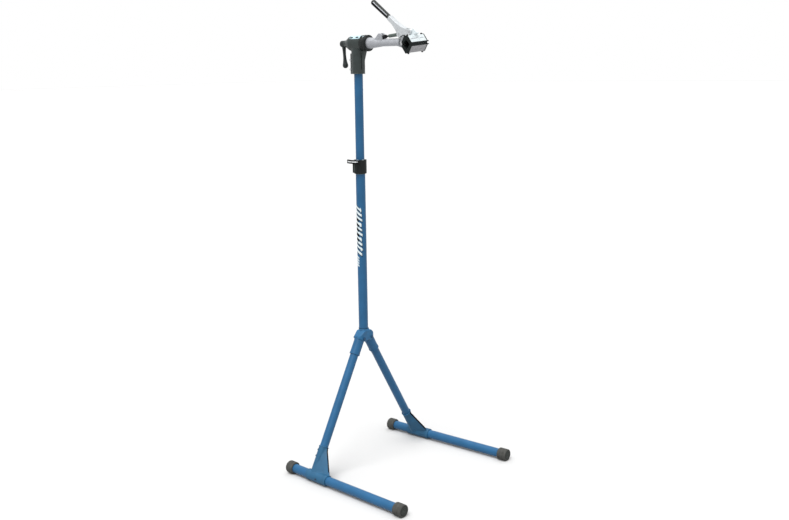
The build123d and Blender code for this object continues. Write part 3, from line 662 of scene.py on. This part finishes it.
# ---- clamp handle grip ----
GRIP_ROOT, GRIP_TOP_END = in_clamp(141.5, 0, 77.8), in_clamp(76.5, 0, 129.3)
GRIP_LENGTH = (GRIP_TOP_END - GRIP_ROOT).length / MM
GRIP_PLACE = along(GRIP_ROOT, GRIP_TOP_END)
moulded = [(0, 6.4), (0.4, 7.4), (1.4, 7.7)]
moulded += [(2.5 + 1.5 * k, 7.75 + 0.016 * k + 0.12 * (k % 2)) for k in range(int((GRIP_LENGTH - 10) / 1.5))]
moulded += [(GRIP_LENGTH - x, r) for x, r in ((6, 8.7), (3, 8.0), (1.2, 6.4), (0.3, 4.2), (0.1, 0))]
GRIP = lathe("grip_moulded", moulded, GRIP_PLACE, GRIP_TOP, "clamp_handle", steps=96,
             stands_for=("handle_grip",),
             bend=lambda x, angle: 0.1 * math.sin(24 * angle) if 2 < x < GRIP_LENGTH - 7 else 0)


def round_grip(u, v):
    """The line in towards the grip's axis, u millimetres from its root and v degrees up from its side."""
    a = math.radians(v)
    out = Vector((0, math.cos(a), math.sin(a)))
    turned = GRIP_PLACE.to_3x3() @ out
    return GRIP_PLACE @ (Vector((u, 0, 0)) * MM + out * 20 * MM), -turned


GRIP_SKIN = surface_of(GRIP)
GRIP_MID = GRIP_LENGTH / 2
draped("grip_lower_band", GRIP_SKIN, [oval(GRIP_MID - 1, -34, GRIP_MID - 5, 42, 8, 72)], round_grip, 0.35,
       NEAR_BLACK_AND_SHADE, "clamp_handle", rings=7)
# painted highlight: a pale stripe along the grip stands in for the highlight on its rounded edge
draped("grip_stripe", GRIP_SKIN, [oval(GRIP_MID - 2, 19, GRIP_MID - 7, 9.5, 8, 72)], round_grip, 0.5, SILVER,
       "clamp_handle")


# ---- jaw nubs, near-black strips as painted shade where the jaw halves meet, and relief on the plates ----
for name, z, way, body in (("upper_jaw", 20.3, 1, "upper_jaw"), ("lower_jaw", -31.3, -1, "clamp_arm")):
    for y, side in ((-34, "left"), (34, "right")):
        start = in_clamp(JAW_X, y, z - 1.0 * way)
        lathe(name + "_nub_" + side, [(0, 3.2), (1.2, 3.6), (3.0, 3.3), (4.2, 2.7), (5.0, 1.5), (5.3, 0)],
              along(start, in_clamp(JAW_X, y, z + way)), NEAR_BLACK_AND_SHADE, body, steps=28)
    # painted shade: near-black strips along the line where the jaw halves meet
    for x in (-16.8, 16.8):
        line = [in_clamp(JAW_X + x, y, JAW_Z + 0.56 * way) for y in (-41.6, -41, -20, 0, 20, 41, 41.6)]
        bead(name + ("_lip_front" if x > 0 else "_lip_rear"), line, 0.5, NEAR_BLACK_AND_SHADE, body,
             CLAMP_UP)
    tab = [in_clamp(JAW_X + 15 + 1.4 * k, 40.6 + 0.3 * k, JAW_Z + (4.2 + 0.08 * k) * way) for k in range(6)]
    bead(name + "_far_tab", tab, 1.7, NEAR_BLACK_AND_SHADE, body, CLAMP_UP)


def clamp_ray(way):
    """The line in along a clamp direction, at u along the jaws (Y) and v up the plate (Z)."""
    turned = CLAMP.to_3x3() @ Vector(way)
    return lambda u, v: (in_clamp(JAW_X - 80 * way[0], u, v), turned)


FROM_FRONT = clamp_ray((-1, 0, 0))
draped("upper_plate_ribs", surface_of(UPPER_JAW),
       [oval(-16, 11, 17, 0.8, 4, 28), oval(22, 11, 9, 0.8, 4, 28)], FROM_FRONT, 0.5,
       SILVER, "upper_jaw")
draped("lower_plate_ribs", surface_of(LOWER_JAW),
       [oval(-20, -24, 13, 0.8, 4, 28), oval(20, -24, 13, 0.8, 4, 28)], FROM_FRONT, 0.5,
       SILVER_ROUGH, "clamp_arm")


# ---- camera, light and floor ----
CAMERA_PLACE = (2.05177, -2.38729, 1.35605)
camera_data = bpy.data.cameras.new("camera")
camera_data.lens = 44.42              # millimetres
camera_data.sensor_width = 36
camera = bpy.data.objects.new("camera", camera_data)
bpy.context.scene.collection.objects.link(camera)
right = Vector((0.75942, 0.65047, -0.01318))
up = Vector((-0.11772, 0.15729, 0.98051))
back = right.cross(up)
turn = Matrix((right, up, back)).transposed()
camera.matrix_world = Matrix.Translation(CAMERA_PLACE) @ turn.to_4x4()
camera_data.clip_start = 0.05
camera_data.clip_end = 200
bpy.context.scene.camera = camera

world = bpy.data.worlds.new("studio")
bpy.context.scene.world = world
world.use_nodes = True
world.node_tree.nodes["Background"].inputs["Color"].default_value = (1, 1, 1, 1)
world.node_tree.nodes["Background"].inputs["Strength"].default_value = 1.0
bpy.context.scene.view_settings.view_transform = "Standard"


def sun(name, azimuth, elevation, strength, softness):
    """A wide, soft light from far away. Azimuth is measured from +X towards +Y."""
    data = bpy.data.lights.new(name, "SUN")
    data.energy = strength
    data.angle = math.radians(softness)
    made = bpy.data.objects.new(name, data)
    bpy.context.scene.collection.objects.link(made)
    a, e = math.radians(azimuth), math.radians(elevation)
    toward = Vector((math.cos(a) * math.cos(e), math.sin(a) * math.cos(e), math.sin(e)))
    made.rotation_euler = toward.to_track_quat("Z", "Y").to_euler()


sun("key_light", -78, 64, 3.3, 40)
sun("top_light", 110, 75, 0.9, 60)

floor_mesh = bpy.data.meshes.new("floor")
bm = bmesh.new()
bmesh.ops.create_grid(bm, x_segments=8, y_segments=8, size=60)
bm.to_mesh(floor_mesh)
bm.free()
FLOOR = finish("pale_floor", (0.47, 0.47, 0.47), rough=0.9, shine=0.1, tint=0.01, cloud=1, grain=60,
               depth=0.01)
floor_mesh.materials.append(FLOOR)
floor = bpy.data.objects.new("floor", floor_mesh)
bpy.context.scene.collection.objects.link(floor)
